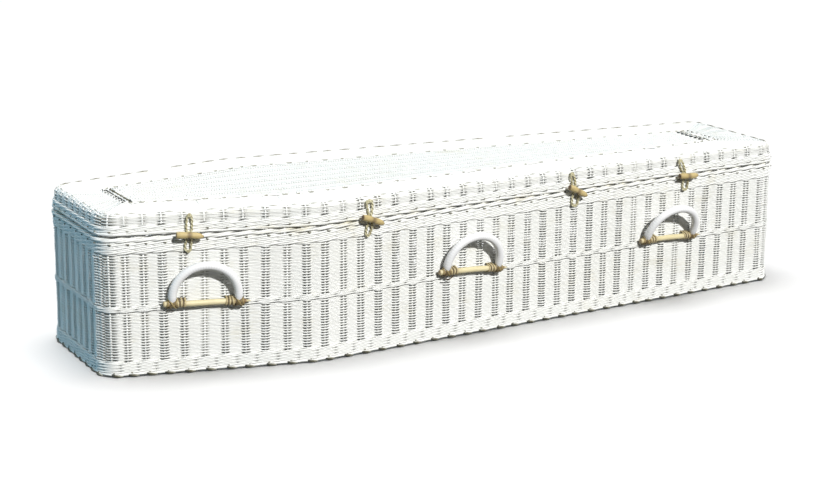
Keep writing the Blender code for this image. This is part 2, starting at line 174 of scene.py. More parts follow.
class Cane:
    """Lengths of cane laid one by one and gathered into one mesh."""

    def __init__(self, seed):
        self.points = []
        self.quads = []
        self.caps = []
        self.tone = []
        self.deep = []
        self.count = 0
        self.chance = np.random.default_rng(seed)

    def lay(self, path, thickness, up, sides=5, closed=False, deep=0.0, tone=None, flat=1.0):
        """One length along a path. up faces away from its own flat side."""
        path = np.asarray(path, float)
        count = len(path)
        if closed:
            ahead = np.roll(path, -1, 0) - np.roll(path, 1, 0)
        else:
            ahead = np.gradient(path, axis=0)
        across = np.cross(ahead, up)
        across /= np.linalg.norm(across, axis=1, keepdims=True)
        above = np.cross(across, ahead)
        above /= np.linalg.norm(above, axis=1, keepdims=True)
        turn = (np.arange(sides) + 0.5) / sides * 2 * math.pi
        radius = np.asarray(thickness, float) / 2
        if radius.ndim < 2:
            radius = np.broadcast_to(radius, (count,))[:, None]
        radius = radius[:, :, None]
        ring = (path[:, None, :] + radius * (np.cos(turn)[None, :, None] * across[:, None, :]
                                             + flat * np.sin(turn)[None, :, None] * above[:, None, :]))
        self.points.append(ring.reshape(-1, 3))
        here = self.count + np.arange(count)[:, None] * sides
        side = np.arange(sides)[None, :]
        next_side = (side + 1) % sides
        there = np.roll(here, -1, 0)
        if not closed:
            here = here[:-1]
            there = there[:-1]
        quad = np.stack([here + side, there + side, there + next_side, here + next_side], -1)
        self.quads.append(quad.reshape(-1, 4))
        if not closed:
            start = self.count + np.arange(sides)
            self.caps.append(start)
            self.caps.append((start + (count - 1) * sides)[::-1])
        if tone is None:
            tone = self.chance.normal(0.0, 1.0)
        self.tone.append(np.full(count * sides, tone))
        self.deep.append(np.repeat(np.broadcast_to(np.asarray(deep, float), (count,)), sides))
        self.count += count * sides

    def piece(self, name, finish, slot, *nodes):
        """The piece of the basket that the lengths make, riding on the coffin."""
        mesh = bpy.data.meshes.new(name)
        points = np.concatenate(self.points)
        quads = np.concatenate(self.quads)
        caps = self.caps
        corners = np.concatenate([quads.ravel()] + caps)
        starts = np.concatenate([
            np.arange(len(quads)) * 4,
            quads.size + np.cumsum([0] + [len(cap) for cap in caps])[:len(caps)]]).astype(int)
        mesh.vertices.add(len(points))
        mesh.vertices.foreach_set("co", points.ravel())
        mesh.loops.add(len(corners))
        mesh.loops.foreach_set("vertex_index", corners)
        mesh.polygons.add(len(starts))
        mesh.polygons.foreach_set("loop_start", starts)
        mesh.update(calc_edges=True)
        mesh.shade_smooth()
        for label, values in (("tone", self.tone), ("deep", self.deep)):
            mark = mesh.attributes.new(label, "FLOAT", "POINT")
            mark.data.foreach_set("value", np.concatenate(values).astype(np.float32))
        mesh.materials.append(finish.material)
        item = bpy.data.objects.new(name, mesh)
        bpy.context.scene.collection.objects.link(item)
        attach(item, "root")
        if nodes:
            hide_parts(*nodes)
        return item


class Socket:
    """An output of a finish's nodes. Sums written with it add the nodes that work them out."""

    def __init__(self, finish, output):
        self.finish = finish
        self.output = output

    def sum(self, operation, first, second=0.0):
        return self.finish.node("ShaderNodeMath", {"operation": operation}, {0: first, 1: second})

    def __add__(self, other):
        return self.sum("ADD", self, other)

    __radd__ = __add__

    def __sub__(self, other):
        return self.sum("SUBTRACT", self, other)

    def __rsub__(self, other):
        return self.sum("SUBTRACT", other, self)

    def __mul__(self, other):
        return self.sum("MULTIPLY", self, other)

    __rmul__ = __mul__

    def clamped(self):
        return self.finish.node("ShaderNodeClamp", {}, {"Value": self})


class Finish:
    """A material, and the nodes that make it up."""

    def __init__(self, name):
        self.material = bpy.data.materials.new(name)
        self.material.use_nodes = True
        self.tree = self.material.node_tree
        self.shader = self.tree.nodes["Principled BSDF"]
        self.place = self.node("ShaderNodeTexCoord", {}, {}, "Object")

    def node(self, kind, settings, inputs, output=0):
        made = self.tree.nodes.new(kind)
        for key, value in settings.items():
            setattr(made, key, value)
        for key, value in inputs.items():
            self.feed(made.inputs[key], value)
        return Socket(self, made.outputs[output])

    def feed(self, socket, value):
        if isinstance(value, Socket):
            self.tree.links.new(value.output, socket)
        else:
            socket.default_value = value

    def set(self, name, value):
        self.feed(self.shader.inputs[name], value)

    def mark(self, name):
        return self.node("ShaderNodeAttribute", {"attribute_name": name}, {}, "Fac")

    def noise(self, scale, detail=2.0, stretch=(1.0, 1.0, 1.0)):
        """Cloudy values from 0 to 1. scale is in waves for each metre."""
        place = self.node("ShaderNodeMapping", {}, {"Vector": self.place, "Scale": stretch})
        return self.node("ShaderNodeTexNoise", {}, {"Vector": place, "Scale": scale, "Detail": detail})

    def mix(self, share, first, second):
        return self.node("ShaderNodeMix", {"data_type": "RGBA"}, {0: share, 6: first, 7: second}, 2)

    def bump(self, height, distance, strength=1.0):
        self.set("Normal", self.node(
            "ShaderNodeBump", {}, {"Height": height, "Distance": distance, "Strength": strength}))


def painted_cane(name):
    """White paint over cane: creamy in clouds, worn to the straw colour in places, and dark
    where it lies deep in the weave: bare cane there with painted shade on it, and near black as
    painted shade in slots and gaps."""
    finish = Finish(name)
    cloud = finish.noise(4.0, 3.0)
    fine = finish.noise(420.0, 3.0, (0.35, 0.35, 1.6))
    tone = finish.mark("tone")
    worn = ((finish.noise(17.0, 4.0) + 0.04 * tone + 0.25 * fine - 0.71) * 5.0).clamped()
    height = finish.node("ShaderNodeSeparateXYZ", {}, {0: finish.place}, "Z")
    footward = finish.node("ShaderNodeSeparateXYZ", {}, {0: finish.place}, "X")
    from_seam = finish.node("ShaderNodeMath", {"operation": "ABSOLUTE"}, {0: height - BODY_TOP})
    seam = (1.0 - from_seam * 55.0).clamped()
    rubbed = (1.2 - from_seam * 400.0).clamped() * (1.6 + 2.2 * footward).clamped()
    cream = (0.8 * cloud + 0.05 * tone - 0.15 + 0.2 * seam).clamped()
    paint = finish.mix(cream, PAINT_WHITE, PAINT_CREAM)
    bare = (worn * (0.22 + 0.35 * seam) + rubbed * (0.05 + 0.6 * cloud)).clamped()
    shown = finish.mix(bare, paint, BARE_CANE)
    # The mark darkens the weave to the shaded cane colour: bare cane with painted shade in the recesses,
    # and past 1 toward near black, painted shade in slots and gaps.
    deep = finish.mark("deep")
    bare_and_shade = (deep * (0.5 + 0.5 * fine)).clamped()
    shade_colour = finish.mix((deep - 1.0).clamped(), SHADED_CANE, PAINTED_HOLLOW_SHADE)
    finish.set("Base Color", finish.mix(bare_and_shade, shown, shade_colour))
    finish.set("Roughness", 0.42 + 0.22 * fine + 0.12 * worn)
    finish.set("Specular IOR Level", 0.4)
    finish.bump(fine, 0.0004, 0.5)
    return finish


white_weave = painted_cane("white_paint_on_weave")

UP = np.array((0.0, 0.0, 1.0))


def lay_sticks(cane, line, shares, x, height, stick):
    """Long sticks side by side, each at its share of the half width all the way."""
    for share in shares:
        path = np.stack([x, share * line.half_width(x), np.full_like(x, height)], 1)
        cane.lay(path, stick, UP, sides=6)


base = Cane(11)
base_line = Line(BASE_INSET)
lay_sticks(base, base_line, 2 * (np.arange(BASE_STICKS) + 0.5) / BASE_STICKS - 1,
           np.linspace(-HALF_LENGTH + BASE_INSET, HALF_LENGTH - BASE_INSET, 30),
           BASE_HEIGHT, BASE_STICK)
splint_x = np.arange(-HALF_LENGTH + 2 * BASE_INSET, HALF_LENGTH - 2 * BASE_INSET, SPLINT_PITCH)
shares = np.linspace(-1, 1, 2 * BASE_STICKS + 1)
for row, x in enumerate(splint_x):
    lift = np.where(np.arange(len(shares)) % 2 == 1, 1.0, 0.0)
    over = np.where((np.arange(len(shares)) // 2 + row) % 2 == 0, 1.0, -1.0)
    path = np.stack([np.full_like(shares, x), shares * base_line.half_width(x),
                     BASE_HEIGHT + lift * over * (BASE_STICK + SPLINT_THICKNESS) / 2], 1)
    # Every splint is darkened part way to the shaded cane colour as painted shade.
    base.lay(path, SPLINT_WIDTH, UP, sides=4, flat=SPLINT_THICKNESS / SPLINT_WIDTH, deep=0.5)
base.piece("woven_base", white_weave, "white_weave")


# The uprights
# Stakes of round cane stand in the wall every 48 mm, and closer at the head. They carry the
# weave, and show only as a thin light line between the rows that pass in front of them.

STAKE_PITCH = 0.0482
HEAD_STAKE_PITCH = 0.0405
STAKE = 0.0054
WALL_MIDDLE = -0.0045
STAKE_SIDESTEP = 0.0012
STAKE_LEAN = 0.0022
OPEN_VARIES = 0.27
OPEN_VARIES_UPWARD = 0.15
LEAST_OPEN = 0.45
MOST_OPEN = 1.6
OPEN_AT_HEAD = 0.74

chance = np.random.default_rng(5)
places = np.linspace(0.0, wall.length, 400)
from_head = HALF_LENGTH + wall.at(places)[0][:, 0]
spacing = np.interp(from_head, (0.05, 0.25), (HEAD_STAKE_PITCH, STAKE_PITCH))
stakes_passed = np.concatenate([[0.0], np.cumsum(np.diff(places) / spacing[1:])])
stake_count = 6 * round(stakes_passed[-1] / 6)
stakes = np.interp(np.arange(stake_count) + 0.5,
                   stakes_passed * stake_count / stakes_passed[-1], places)
stakes = stakes + chance.normal(0.0, STAKE_SIDESTEP, stake_count)
stake_lean = chance.normal(0.0, STAKE_LEAN, stake_count)
from_head_of_stake = HALF_LENGTH + wall.at(stakes)[0][:, 0]
openness = 1.0 + chance.normal(0.0, OPEN_VARIES, stake_count)
openness = openness + chance.normal(0.0, OPEN_VARIES_UPWARD, (9, stake_count))
openness = np.clip(openness, LEAST_OPEN, MOST_OPEN)
openness *= np.interp(from_head_of_stake, (0.45, 0.60), (OPEN_AT_HEAD, 1.0))


def stakes_at(height):
    """Places of the stakes along the wall at a height: each leans a little its own way."""
    return stakes + stake_lean * (height / BODY_TOP - 0.5)


def openness_at(height):
    """How far the rows stand off each stake at a height, as a share of the usual."""
    step = min(height / BODY_TOP, 1.0) * (len(openness) - 1)
    low = min(int(step), len(openness) - 2)
    return openness[low] + (openness[low + 1] - openness[low]) * (step - low)


uprights = Cane(12)
for number in range(stake_count):
    heights = np.linspace(0.004, BODY_TOP - 0.004, 4)
    along = np.array([stakes_at(height)[number] for height in heights])
    point, normal = wall.at(along)
    place = point + normal * WALL_MIDDLE
    outward = np.array((*normal[0], 0.0))
    uprights.lay(np.stack([place[:, 0], place[:, 1], heights], 1), STAKE, outward, sides=6)
uprights.piece("uprights", white_weave, "white_weave")


# The foot
# Four rounds of waling, three rods worked together, each in front of two stakes and behind
# one. Under it the foot border: each stake is turned down, laid along to the right, and its
# tip shows at the very bottom, nearly black with painted shade.

FOOT_BORDER_LOW = 0.0022
FOOT_BORDER_TOP = 0.0070
FOOT_WALE_TOP = 0.0345
TIP_ALONG = np.array((0.000, 0.007, 0.015, 0.024))
TIP_OUT = np.array((0.0026, 0.0046, 0.0046, 0.0030))
TIP_HEIGHT = np.array((0.0050, 0.0038, 0.0031, 0.0026))
TIP_THICKNESS = np.array((0.0050, 0.0056, 0.0050, 0.0036))
TIP_SHADE = np.array((1.9, 1.7, 1.2, 0.8))
BORDER_REACH = 2.9
CUT_END_ALONG = np.array((-0.0035, 0.0, 0.0030))
CUT_END_DEPTH = np.array((0.0045, 0.0014, 0.0004))
SEAM_OPEN_TO = -0.81
SEAM_CLOSED_FROM = -0.70


def wale_offset(turn):
    """Share of the swing in front of the wall, at a share of the way over three stakes."""
    return np.clip(0.9 - 2.2 * np.cos(2 * math.pi * turn), -1.0, 1.0)


def lay_wale(cane, low, high, rounds, proud):
    """Rounds of three-rod waling between two heights, its face this far out of the wall line."""
    pitch = (high - low) / rounds
    rod = pitch / 2 * 1.14
    swing = (proud - rod / 2 - WALL_MIDDLE) / 2
    centre = (proud - rod / 2 + WALL_MIDDLE) / 2
    step = np.arange(stake_count * 3) / 3
    for level in range(rounds):
        middle = low + pitch * (level + 0.5)
        marks = stakes_at(middle)
        marks = np.append(marks, marks[0] + wall.length)
        point, normal = wall.at(np.interp(step, np.arange(stake_count + 1), marks))
        for start in range(3):
            turn = np.mod((step - start) / 3, 1.0)
            front = wale_offset(turn)
            wander = 1 + 0.06 * cane.chance.normal(0, 1, len(step))
            place = point + normal * (centre + swing * front * wander)[:, None]
            rise = rod / 2 * np.clip(6 * (turn - 0.5), -1.4, 1.4)
            # Where a rod passes behind a stake it is darkened a little as painted shade.
            cane.lay(np.column_stack([place, middle + rise]), rod, UP, closed=True,
                     deep=np.clip(-front, 0, 1) * 0.3)


def seam_lift(point, lifted):
    """Lift of a border along the seam: the whole of it at the head, none farther on."""
    return lifted * np.interp(point[:, 0], (SEAM_OPEN_TO, SEAM_CLOSED_FROM), (1.0, 0.0))


def lay_border(cane, low, high, rod, proud, lifted=0.0):
    """Each stake turned over and laid to the right, from the low height to the high one, and
    lifted by this much at the head. The cut end of a stake shows where the next one turns,
    dark with painted shade, as are the turn out of the wall and the end tucked in."""
    reach = np.array([0.0, 0.22, 0.6, 1.1, 1.6, 2.1, 2.5, BORDER_REACH])
    lift = np.array([0.0, 0.12, 0.32, 0.52, 0.72, 0.93, 1.0, 0.75])
    out = np.array([WALL_MIDDLE, -0.001, proud, proud, proud, proud * 0.6, -0.004, -0.010])
    places = np.linspace(0, BORDER_REACH, 14)
    way = math.copysign(1.0, high - low)
    marks = stakes_at(low)
    for number in range(stake_count):
        point, normal = wall.at(marks[number] + places * wall.length / stake_count)
        away = np.interp(places, reach, out) - rod / 2
        away[0] = WALL_MIDDLE
        place = point + normal * away[:, None]
        height = low + way * rod / 2 + np.interp(places, reach, lift) * (abs(high - low) - rod) * way
        height = height + cane.chance.normal(0, 0.00025) + seam_lift(point, lifted)
        # The turn out of the wall is darkened as painted shade, and the end tucked in a little.
        cane.lay(np.column_stack([place, height]), rod, UP, sides=6,
                 deep=np.where(places > 2.4, 0.2, np.where(places < 0.2, 0.9, 0.0)))
        point, normal = wall.at(marks[number] + 0.006 + CUT_END_ALONG * cane.chance.uniform(0.7, 1.3))
        cut_end = point + normal * (proud - CUT_END_DEPTH)[:, None]
        height = low - way * rod * 0.1 + cane.chance.normal(0, 0.0006) + seam_lift(point, lifted)
        # The cut end is dark with painted shade.
        cane.lay(np.column_stack([cut_end, height]), rod * 0.62, UP, sides=5, deep=1.2)


foot_wale = Cane(13)
lay_wale(foot_wale, FOOT_BORDER_TOP, FOOT_WALE_TOP, rounds=4, proud=0.004)
foot_wale.piece("foot_wale", white_weave, "white_weave")

foot_border = Cane(14)
lay_border(foot_border, FOOT_BORDER_TOP + 0.0015, FOOT_BORDER_LOW, rod=0.0044, proud=0.0045)
for mark in stakes_at(0.0):
    point, normal = wall.at(mark + TIP_ALONG + foot_border.chance.normal(0, 0.002))
    place = point + normal * TIP_OUT[:, None]
    # The tips are nearly black with painted shade.
    foot_border.lay(np.column_stack([place, TIP_HEIGHT]), TIP_THICKNESS, UP, sides=6, deep=TIP_SHADE)
foot_border.piece("foot_border", white_weave, "white_weave")


# The woven sides
# Rows of thin round cane, in front of one stake and behind the next, turn about from row to
# row. Between the stakes they are beaten down tight. Beside each stake they leave small gaps.

ROW_PITCH = 0.0032
WEAVER = 0.0032
BAND_SWELL = 0.22
CORNER_THIN = 0.26
ROW_MIDDLE = WALL_MIDDLE + 0.0012
ROW_DRIFT = 0.00015
ROW_WOBBLE = 0.00012
LAP = 0.0045
LAP_HALF = 0.0130
LAP_FLAT = 0.0036
MOST_TURN = 0.27
WALE_LOW = 0.1535
WALE_HIGH = 0.1642
TOP_WALE_LOW = 0.2905


def weave_places(line, marks):
    """Places along a line where a row changes: where, which stake, and whether at its lap."""
    before = np.mod(marks - np.roll(marks, 1), line.length)
    after = np.roll(before, -1)
    reach_back = np.minimum(LAP_HALF, 0.44 * before)
    reach_on = np.minimum(LAP_HALF, 0.44 * after)
    along = []
    owner = []
    share = []
    _, facing = line.at(marks)
    for number, mark in enumerate(marks):
        back = reach_back[number]
        on = reach_on[number]
        flat = LAP_FLAT * min(back, on) / LAP_HALF
        along += [mark - back, mark - flat, mark + flat, mark + on]
        share += [0.0, 1.0, 1.0, 0.0]
        owner += [number] * 4
        following = facing[(number + 1) % len(marks)]
        turned = math.acos(min(1.0, float(facing[number] @ following)))
        extra = int(turned / MOST_TURN)
        for step in range(extra):
            gap = after[number] - on - reach_back[(number + 1) % len(marks)]
            along.append(mark + on + gap * (step + 1) / (extra + 1))
            share.append(0.0)
            owner.append(number)
    return np.array(along), np.array(owner), np.array(share)


def round_corner(normal):
    """1 in the middle of a rounded corner, 0 along the walls."""
    return np.clip(6.4 * (normal[:, 0] * normal[:, 1]) ** 2 - 0.35, 0, 1)


def lay_rows(cane, low, high):
    """The woven rows of the wall between two heights."""
    rows = round((high - low) / ROW_PITCH)
    for row in range(rows):
        height = low + (high - low) * (row + 0.5) / rows
        along, owner, share = weave_places(wall, stakes_at(height))
        side = np.where((owner + row) % 2 == 0, 1.0, -1.0)
        sway = 1 + 0.10 * cane.chance.normal(0, 1, stake_count)
        point, normal = wall.at(along)
        corner = round_corner(normal)
        share = np.maximum(share, corner)
        swing = LAP * (1 - 0.35 * corner) * share * side * (openness_at(height) * sway)[owner]
        drift = cane.chance.normal(0, ROW_DRIFT, stake_count)[owner]
        place = point + normal * (ROW_MIDDLE + swing + drift)[:, None]
        wobble = cane.chance.normal(0, ROW_WOBBLE, stake_count)[owner]
        swell = 1 + (1 - share) * BAND_SWELL - CORNER_THIN * corner
        thickness = WEAVER * swell * (1 + 0.04 * cane.chance.normal(0, 1))
        # Beside each stake the row that passes behind it is darkened as painted shade.
        cane.lay(np.column_stack([place, height + wobble]), thickness, UP, closed=True,
                 deep=np.where(share * side < 0, 0.65 * share, 0.0))


lower_side = Cane(15)
lay_rows(lower_side, FOOT_WALE_TOP, WALE_LOW)
lower_side.piece("lower_weave", white_weave, "white_weave", "coffin_body")

upper_side = Cane(16)
lay_rows(upper_side, WALE_HIGH, TOP_WALE_LOW)
upper_side.piece("upper_weave", white_weave, "white_weave")


# The middle wale
# Halfway up the wall two rounds of stouter waling, of three rods like the foot's, stand out from
# the weave as one plaited line.

middle_wale = Cane(17)
lay_wale(middle_wale, WALE_LOW, WALE_HIGH, rounds=2, proud=0.0035)
middle_wale.piece("middle_wale", white_weave, "white_weave")


# The top of the body
# Three rounds of waling close the weave. Above them the stakes are turned down to the right,
# three deep, into the rolled border that the lid lies on.

TOP_BORDER_LOW = 0.3165

top_wale = Cane(18)
lay_wale(top_wale, TOP_WALE_LOW, TOP_BORDER_LOW, rounds=3, proud=0.003)
top_wale.piece("top_wale", white_weave, "white_weave")

top_border = Cane(19)
lay_border(top_border, TOP_BORDER_LOW - 0.001, BODY_TOP - 0.0002,
           rod=0.0052, proud=0.005, lifted=-0.0008)
top_border.piece("top_border", white_weave, "white_weave")


# The panel of the lid
# The lid begins as a flat panel: seven long sticks with cane woven across them. Near each end
# a slot is left unwoven, crossed by the sticks and one rod, and dark strips in it are painted shade.

LID_TOP = 0.3845
LID_MIDDLE = LID_TOP - 0.0042
PANEL_INSET = 0.1255
PANEL_STICK = 0.0046
PANEL_STICKS = 7
PANEL_PITCH = 0.0033
PANEL_LAP = 0.0015
HEAD_SLOT = (-0.8690, -0.8440)
FOOT_SLOT = (0.7980, 0.8240)
SLOT_ROD = 0.0042
SLOT_ROD_LAP = 0.0012
SLOT_ROD_UP = 0.001
SLOT_SHADE_STRIP = 0.0058
SLOT_SHADE_STRIP_UP = 0.0020
SLOT_SHADE_COLUMNS = ((-0.0068, 2.2), (0.0062, 1.4))

panel_line = Line(PANEL_INSET)
head_end = panel_line.front[0, 0]
foot_end = panel_line.front[-1, 0]
panel = Cane(21)
stick_shares = np.linspace(-0.93, 0.93, PANEL_STICKS)
lay_sticks(panel, panel_line, stick_shares, np.linspace(head_end - 0.008, foot_end + 0.008, 34),
           LID_MIDDLE, PANEL_STICK)
for row, x in enumerate(np.arange(head_end, foot_end, PANEL_PITCH)):
    if HEAD_SLOT[0] < x < HEAD_SLOT[1] or FOOT_SLOT[0] < x < FOOT_SLOT[1]:
        continue
    half = float(panel_line.half_width(x))
    lap = min(LAP_HALF, 0.3 * half * (stick_shares[1] - stick_shares[0]))
    over = np.where((np.arange(PANEL_STICKS) + row) % 2 == 0, 1.0, -1.0)
    over *= 1 + 0.1 * panel.chance.normal(size=PANEL_STICKS)
    lift = np.concatenate([[0.0], np.outer(over, (0.0, 1.0, 1.0, 0.0)).ravel(), [0.0]])
    y = (stick_shares * half)[:, None] + lap * np.array((-1.0, -1 / 3, 1 / 3, 1.0))
    y = np.concatenate([[-half * 0.99], y.ravel().clip(-half, half), [half * 0.99]])
    path = np.stack([np.full(len(y), x), y, LID_MIDDLE + PANEL_LAP * lift], 1)
    path[:, 0] += panel.chance.normal(0, 0.00015, len(y))
    swell = 1 + BAND_SWELL * (1 - np.abs(lift).clip(0, 1))
    # Where a row dips under a stick it gets a trace of painted shade.
    panel.lay(path, WEAVER * swell, UP, sides=4, deep=np.where(lift < 0, 0.08, 0.0))
for low, high in (HEAD_SLOT, FOOT_SLOT):
    x = (low + high) / 2
    half = float(panel_line.half_width(x)) * 0.95
    weave = np.where(np.arange(16) % 2 == 0, 1.0, -1.0) * SLOT_ROD_LAP
    rod = np.stack([np.full(16, x), np.linspace(-half, half, 16), LID_MIDDLE + SLOT_ROD_UP + weave], 1)
    panel.lay(rod, SLOT_ROD, UP, sides=6)
    # Dark strips across the slot's cells are painted shade for the dark inside of the lid.
    for column, slot_shade in SLOT_SHADE_COLUMNS:
        for cell in (stick_shares[1:] + stick_shares[:-1]) / 2:
            reach = 0.29 * half * (stick_shares[1] - stick_shares[0])
            cell_y = cell * half + np.array((-reach, 0.0, reach))
            hollow_shade = np.stack([np.full(3, x + column), cell_y, np.full(3, LID_MIDDLE + SLOT_SHADE_STRIP_UP)], 1)
            panel.lay(hollow_shade, SLOT_SHADE_STRIP, UP, sides=6, deep=slot_shade, flat=0.7)
panel.piece("lid_panel", white_weave, "white_weave", "coffin_lid")


# The lid round the panel
# Stakes set along the panel's edge run out, bend down over the rounded edge, where short gaps
# show, darkened with painted shade and strips of it, and carry rows that follow the outline.
# Where they leave the panel, two rods lie side by side and part between the stakes, by turns a
# long way and a short way, with short dark rods of painted shade under the openings.

LID_EDGE_RADIUS = 0.016
LID_WEAVE_LOW = 0.3535
LID_FACE = -0.001
LID_ROW_PITCH = 0.0033
LID_STAKE = 0.0046
LID_LAP = 0.0021
LID_EDGE_GAPS = 0.0006
EDGE_GAP_UP = 0.87
EDGE_GAP_ON = 0.02
EDGE_GAP_SHADE = (0.7, 1.0, 0.0030, np.array((0.4, 0.85, 0.4)))
FAR_EDGE_GAP_SHADE = (0.95, 1.8, 0.0052, np.array((0.9, 1.3, 0.9)))
EDGE_INSET = 0.1135
PAIR_INSET = 0.1195
PAIR_ROD = 0.0040
PAIR_PART = 0.0042
PAIR_DIP = 0.0026
PAIR_LONG = 0.0115
PAIR_SHORT = 0.0072
STAKE_ROWS = (0, 1, 3, 4, 5, 6, 7, 8, 10, 14, 20)

face_depth = LID_TOP - LID_MIDDLE
edge_radius = LID_EDGE_RADIUS - face_depth
edge_low = LID_TOP - LID_EDGE_RADIUS
side_length = edge_low - LID_WEAVE_LOW
edge_length = edge_radius * math.pi / 2
top_length = EDGE_INSET - LID_EDGE_RADIUS + LID_FACE


def lid_profile(distance):
    """Inset, height and outward direction at a distance up the lid's side and over its edge."""
    if distance < side_length:
        return face_depth - LID_FACE, LID_WEAVE_LOW + distance, (1.0, 0.0)
    distance -= side_length
    if distance < edge_length:
        angle = distance / edge_radius
        inset = LID_EDGE_RADIUS - LID_FACE - edge_radius * math.cos(angle)
        return inset, edge_low + edge_radius * math.sin(angle), (math.cos(angle), math.sin(angle))
    distance -= edge_length
    return LID_EDGE_RADIUS - LID_FACE + distance, LID_MIDDLE, (0.0, 1.0)


lid_marks = stakes_at(BODY_TOP)
lid_rounds = Cane(22)
lid_rows = round((side_length + edge_length + top_length) / LID_ROW_PITCH)
stake_paths = []
for row in range(lid_rows):
    distance = (row + 0.5) * LID_ROW_PITCH
    inset, height, (out, rise) = lid_profile(distance)
    line = Line(inset)
    marks = line.carry(lid_marks, wall)
    along, owner, share = weave_places(line, marks)
    side = np.where((owner + row) % 2 == 0, 1.0, -1.0)
    sway = 1 + 0.10 * lid_rounds.chance.normal(0, 1, stake_count)
    point, normal = line.at(along)
    share = np.maximum(share, round_corner(normal) * (1 - rise))
    on_edge = LID_EDGE_GAPS if 0.3 < rise < 0.8 else 0.0
    lap = (LID_LAP * (1 - 0.3 * rise) + on_edge) * share * side * (openness_at(height) * sway)[owner]
    place = point + normal * (out * lap)[:, None]
    # Rows facing the head end get extra painted shade.
    headward_shade = np.clip(-normal[:, 0], 0, 1) * (1 - rise)
    wobble = lid_rounds.chance.normal(0, 0.00016, stake_count)[owner]
    path = np.column_stack([place, height + rise * lap + out * wobble])
    point, normal = line.at(marks)
    stake_paths.append(np.column_stack([point, np.full(stake_count, height)]))
    # Rows passing behind a stake get painted shade, more where the edge gaps open.
    lid_rounds.lay(path, WEAVER * (0.94 + (1 - share) * (BAND_SWELL + 0.06)), UP, sides=4, closed=True,
                   deep=np.where(share * side < 0, 0.2 - 0.15 * rise + 400 * on_edge + headward_shade, 0.0))
gap_inset, gap_height, _ = lid_profile(side_length + EDGE_GAP_UP * edge_length)
gap_line = Line(gap_inset)
# Short dark strips on the rounded edge are painted shade in its gaps, darker at the back and foot.
for gap_place in gap_line.carry(lid_marks, wall) + EDGE_GAP_ON:
    at_back_or_foot = gap_line.at(np.array([gap_place]))[1].max() > 0.9
    often, longer, width, dark = FAR_EDGE_GAP_SHADE if at_back_or_foot else EDGE_GAP_SHADE
    reach = lid_rounds.chance.uniform(0.005, 0.011) * longer
    if lid_rounds.chance.random() < often:
        point, _ = gap_line.at(gap_place + reach * np.array((-1.0, 0.0, 1.0)))
        gap = np.column_stack([point, gap_height + np.array((0.0004, 0.0014, 0.0004))])
        lid_rounds.lay(gap, width, UP, sides=5, deep=dark)
lid_rounds.piece("lid_rounds", white_weave, "white_weave")

lid_stakes = Cane(23)
stake_paths = np.array(stake_paths)[[*STAKE_ROWS, -1]]
_, stake_facing = wall.at(lid_marks)
for number in range(stake_count):
    normal = stake_facing[number]
    lid_stakes.lay(stake_paths[:, number], LID_STAKE, (-normal[1], normal[0], 0.0), sides=6)
lid_stakes.piece("lid_stakes", white_weave, "white_weave")

pairing = Cane(24)
pair_line = Line(PAIR_INSET)
pair_marks = pair_line.carry(lid_marks, wall)
pair_step = np.mod(np.roll(pair_marks, -1) - pair_marks, pair_line.length)
pair_middle = pair_marks + pair_step / 2
pair_half = np.where(np.arange(stake_count) % 2 == 1, PAIR_LONG, PAIR_SHORT)
pair_half = np.minimum(pair_half, 0.42 * pair_step)
parted = np.tile((0.0, 1.0, 1.0, 0.0), stake_count)
pair_along = pair_middle[:, None] + pair_half[:, None] * np.array((-1.0, -0.45, 0.45, 1.0))
for way in (-1.0, 1.0):
    point, normal = pair_line.at(pair_along.ravel())
    place = point + normal * (way * (PAIR_ROD / 2 + PAIR_PART * parted))[:, None]
    path = np.column_stack([place, LID_MIDDLE + 0.002 - PAIR_DIP * parted])
    pairing.lay(path, PAIR_ROD, UP, sides=6, closed=True)
# Short rods under each opening between the parted rods are dark with painted shade, nearly black at the
# ends of the lid.
for middle, half in zip(pair_middle, pair_half):
    point, normal = pair_line.at(middle + half * np.array((-0.8, 0.0, 0.8)))
    under = np.column_stack([point, np.full(3, LID_MIDDLE + 0.0014)])
    at_end = abs(normal[1, 0]) > 0.9
    pairing.lay(under, PAIR_ROD * 0.9, UP, sides=6, deep=1.9 if at_end else 0.95)
pairing.piece("lid_pairing", white_weave, "white_weave")


# The rim of the lid
# Two rounds of waling close the lid's weave. Under them the stakes end in a border laid like the
# one on the body but turned downwards, and lifted a little off it near the head.

LID_BORDER_HIGH = 0.3385
LID_RIM_GAP = 0.0001

lid_wale = Cane(25)
lay_wale(lid_wale, LID_BORDER_HIGH, LID_WEAVE_LOW, rounds=2, proud=0.002)
lid_wale.piece("lid_wale", white_weave, "white_weave")

lid_border = Cane(26)
lay_border(lid_border, LID_BORDER_HIGH + 0.001, BODY_TOP + LID_RIM_GAP,
           rod=0.0042, proud=0.0035, lifted=0.0024)
lid_border.piece("lid_border", white_weave, "white_weave")


# The handle bars
# A length of stout natural cane with the bark scraped off. The left end is cut square, the
# right end is whittled to a point. Both ends are stained brown where they are bound.

BAR = 0.0140
BAR_DRAWN_IN = 0.0025
BAR_STRAW = (0.64, 0.54, 0.29, 1.0)
BAR_PALE = (0.76, 0.68, 0.43, 1.0)
BAR_BROWN = (0.20, 0.115, 0.05, 1.0)
BAR_STEPS = np.array((-0.098, -0.0968, -0.094, -0.085, -0.06, -0.03, 0.0, 0.02,
                      0.022, 0.024, 0.05, 0.07, 0.084, 0.093, 0.099, 0.106))
BAR_WIDTHS = np.array((0.70, 0.88, 0.96, 1.0, 1.0, 0.98, 0.99, 1.0,
                       1.06, 1.0, 0.98, 1.0, 0.88, 0.60, 0.36, 0.14))
BAR_STAIN_STEPS = (-0.098, -0.094, -0.088, -0.062, -0.055, 0.055, 0.064, 0.094, 0.098)
BAR_STAINS = (0.7, 0.1, 0.75, 0.6, 0.0, 0.0, 0.7, 0.9, 0.1)
